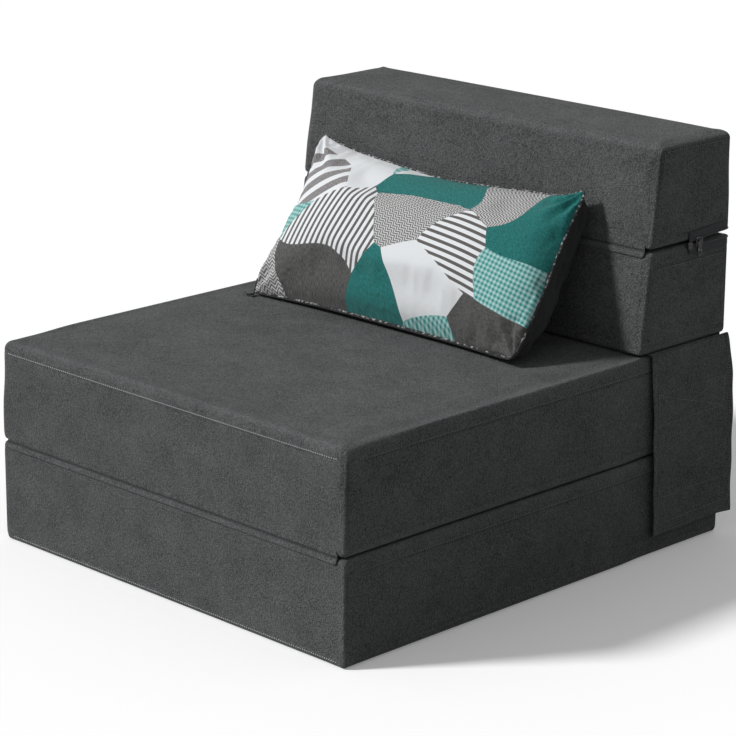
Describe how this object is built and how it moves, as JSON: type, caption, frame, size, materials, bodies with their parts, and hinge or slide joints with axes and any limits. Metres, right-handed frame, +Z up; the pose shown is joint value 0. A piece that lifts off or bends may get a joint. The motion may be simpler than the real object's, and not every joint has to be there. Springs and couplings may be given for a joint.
{
  "type": "convertible chair bed",
  "caption": "Fold-out foam chair bed: stacked blocks joined by fabric hinges, with side flaps, zips and a loose lumbar pillow.",
  "frame": {"origin": "centre of the base block's underside, on the floor", "axes": "+X to the right seen from the front, across the seat; +Y from the seat's front to the rear; +Z up"},
  "size_m": [0.7081, 0.7867, 0.5985],
  "materials": {
    "cover_fabric": "brushed matt weave",
    "foam": "open cell foam",
    "filling": "loose fibre",
    "pillow_print": "printed cotton weave",
    "pillow_plain": "plain cotton weave",
    "zip_tape": "woven tape with coil",
    "zip_metal": "satin black enamel",
    "hook_loop": "hook and loop pile"
  },
  "bodies": {
    "base": {"base_cover": "cover_fabric", "base_foam": "foam", "front_hinge_strip": "cover_fabric", "base_zip_tape": "zip_tape", "loop_base_right": "hook_loop", "loop_base_left": "hook_loop"},
    "seat": {"seat_cover": "cover_fabric", "seat_foam": "foam", "rear_hinge_strip": "cover_fabric", "seat_zip_tape": "zip_tape", "loop_seat_right": "hook_loop", "loop_seat_left": "hook_loop"},
    "back_lower": {"back_lower_cover": "cover_fabric", "back_lower_foam": "foam", "head_hinge_strip": "cover_fabric", "back_lower_zip_tape": "zip_tape", "head_zip_tape_lower": "zip_tape", "head_zip_box": "zip_metal", "flap_seam_right": "cover_fabric", "flap_seam_left": "cover_fabric"},
    "back_upper": {"back_upper_cover": "cover_fabric", "back_upper_foam": "foam", "back_upper_zip_tape": "zip_tape", "head_zip_tape_upper": "zip_tape"},
    "pillow": {"pillow_front": "pillow_print", "pillow_back": "pillow_plain", "pillow_filling": "filling", "pillow_zip_tape": "zip_tape"},
    "pillow_zip_slider": {"pillow_zip_slider": "zip_metal"},
    "pillow_zip_pull": {"pillow_zip_pull": "zip_metal"},
    "head_zip_slider": {"head_zip_slider": "zip_metal"},
    "head_zip_pull": {"head_zip_pull": "zip_metal"},
    "flap_band_right": {"flap_band_right": "cover_fabric"},
    "flap_right": {"flap_right": "cover_fabric", "hook_upper_right": "hook_loop", "hook_lower_right": "hook_loop"},
    "flap_band_left": {"flap_band_left": "cover_fabric"},
    "flap_left": {"flap_left": "cover_fabric", "hook_upper_left": "hook_loop", "hook_lower_left": "hook_loop"},
    "base_zip_slider": {"base_zip_slider": "zip_metal"},
    "base_zip_pull": {"base_zip_pull": "zip_metal"},
    "seat_zip_slider": {"seat_zip_slider": "zip_metal"},
    "seat_zip_pull": {"seat_zip_pull": "zip_metal"},
    "back_lower_zip_slider": {"back_lower_zip_slider": "zip_metal"},
    "back_lower_zip_pull": {"back_lower_zip_pull": "zip_metal"},
    "back_upper_zip_slider": {"back_upper_zip_slider": "zip_metal"},
    "back_upper_zip_pull": {"back_upper_zip_pull": "zip_metal"}
  },
  "joints": [
    {"name": "seat_fold", "type": "hinge", "parent": "base", "child": "seat", "pos_m": [0, -0.3865, 0.15], "axis": [1, 0, 0], "range_deg": [0, 180], "deforming": ["front_hinge_strip"]},
    {"name": "back_fold", "type": "hinge", "parent": "seat", "child": "back_lower", "pos_m": [0, 0.3865, 0.3], "axis": [-1, 0, 0], "range_deg": [0, 180], "deforming": ["rear_hinge_strip"]},
    {"name": "head_fold", "type": "hinge", "parent": "back_lower", "child": "back_upper", "pos_m": [0, 0.2035, 0.45], "axis": [1, 0, 0], "range_deg": [0, 180], "deforming": ["head_hinge_strip"]},
    {"name": "pillow_tip", "type": "hinge", "parent": "back_lower", "child": "pillow", "pos_m": [0, -0.049, 0.299], "axis": [1, 0, 0], "range_deg": [0, 127.8]},
    {"name": "head_zip_slide", "type": "slide", "parent": "back_lower", "child": "head_zip_slider", "axis": [0, 1, 0], "range_m": [0, 0.052]},
    {"name": "head_zip_pull_lift", "type": "hinge", "parent": "head_zip_slider", "child": "head_zip_pull", "pos_m": [0.3529, 0.311, 0.45195], "axis": [0, -1, 0], "range_deg": [0, 150]},
    {"name": "pillow_zip_slide", "type": "slide", "parent": "pillow", "child": "pillow_zip_slider", "axis": [1, 0, 0], "range_m": [0, 0.5]},
    {"name": "pillow_zip_pull_lift", "type": "hinge", "parent": "pillow_zip_slider", "child": "pillow_zip_pull", "pos_m": [-0.274, 0.0302, 0.30432], "axis": [0, 1, 0], "range_deg": [0, 75]},
    {"name": "base_zip_slide", "type": "slide", "parent": "base", "child": "base_zip_slider", "axis": [1, 0, 0], "range_m": [0, 0.535]},
    {"name": "base_zip_pull_lift", "type": "hinge", "parent": "base_zip_slider", "child": "base_zip_pull", "pos_m": [-0.268, 0.3874, 0.07635], "axis": [1, 0, 0], "range_deg": [0, 174]},
    {"name": "seat_zip_slide", "type": "slide", "parent": "seat", "child": "seat_zip_slider", "axis": [1, 0, 0], "range_m": [0, 0.535]},
    {"name": "seat_zip_pull_lift", "type": "hinge", "parent": "seat_zip_slider", "child": "seat_zip_pull", "pos_m": [-0.268, 0.3874, 0.20085], "axis": [1, 0, 0], "range_deg": [0, 174]},
    {"name": "back_lower_zip_slide", "type": "slide", "parent": "back_lower", "child": "back_lower_zip_slider", "axis": [1, 0, 0], "range_m": [0, 0.535]},
    {"name": "back_lower_zip_pull_lift", "type": "hinge", "parent": "back_lower_zip_slider", "child": "back_lower_zip_pull", "pos_m": [-0.268, 0.3874, 0.34635], "axis": [1, 0, 0], "range_deg": [0, 174]},
    {"name": "back_upper_zip_slide", "type": "slide", "parent": "back_upper", "child": "back_upper_zip_slider", "axis": [1, 0, 0], "range_m": [0, 0.535]},
    {"name": "back_upper_zip_pull_lift", "type": "hinge", "parent": "back_upper_zip_slider", "child": "back_upper_zip_pull", "pos_m": [-0.268, 0.3874, 0.53385], "axis": [1, 0, 0], "range_deg": [0, 174]},
    {"name": "flap_right_fall", "type": "hinge", "parent": "back_lower", "child": "flap_band_right", "pos_m": [0.3509, 0.3, 0.301], "axis": [0, -1, 0], "range_deg": [0, 90]},
    {"name": "flap_right_lift", "type": "hinge", "parent": "flap_band_right", "child": "flap_right", "pos_m": [0.354, 0.3, 0.2903], "axis": [0, -1, 0], "range_deg": [0, 85]},
    {"name": "flap_left_fall", "type": "hinge", "parent": "back_lower", "child": "flap_band_left", "pos_m": [-0.3509, 0.3, 0.301], "axis": [0, 1, 0], "range_deg": [0, 90]},
    {"name": "flap_left_lift", "type": "hinge", "parent": "flap_band_left", "child": "flap_left", "pos_m": [-0.354, 0.3, 0.2903], "axis": [0, 1, 0], "range_deg": [0, 85]}
  ],
  "couplings": [
    {"joint": "back_fold", "follows": "seat_fold", "ratio": 1},
    {"joint": "flap_right_fall", "follows": "seat_fold", "ratio": 0.5},
    {"joint": "flap_left_fall", "follows": "seat_fold", "ratio": 0.5},
    {"joint": "pillow_tip", "follows": "head_fold", "ratio": 0.71}
  ]
}
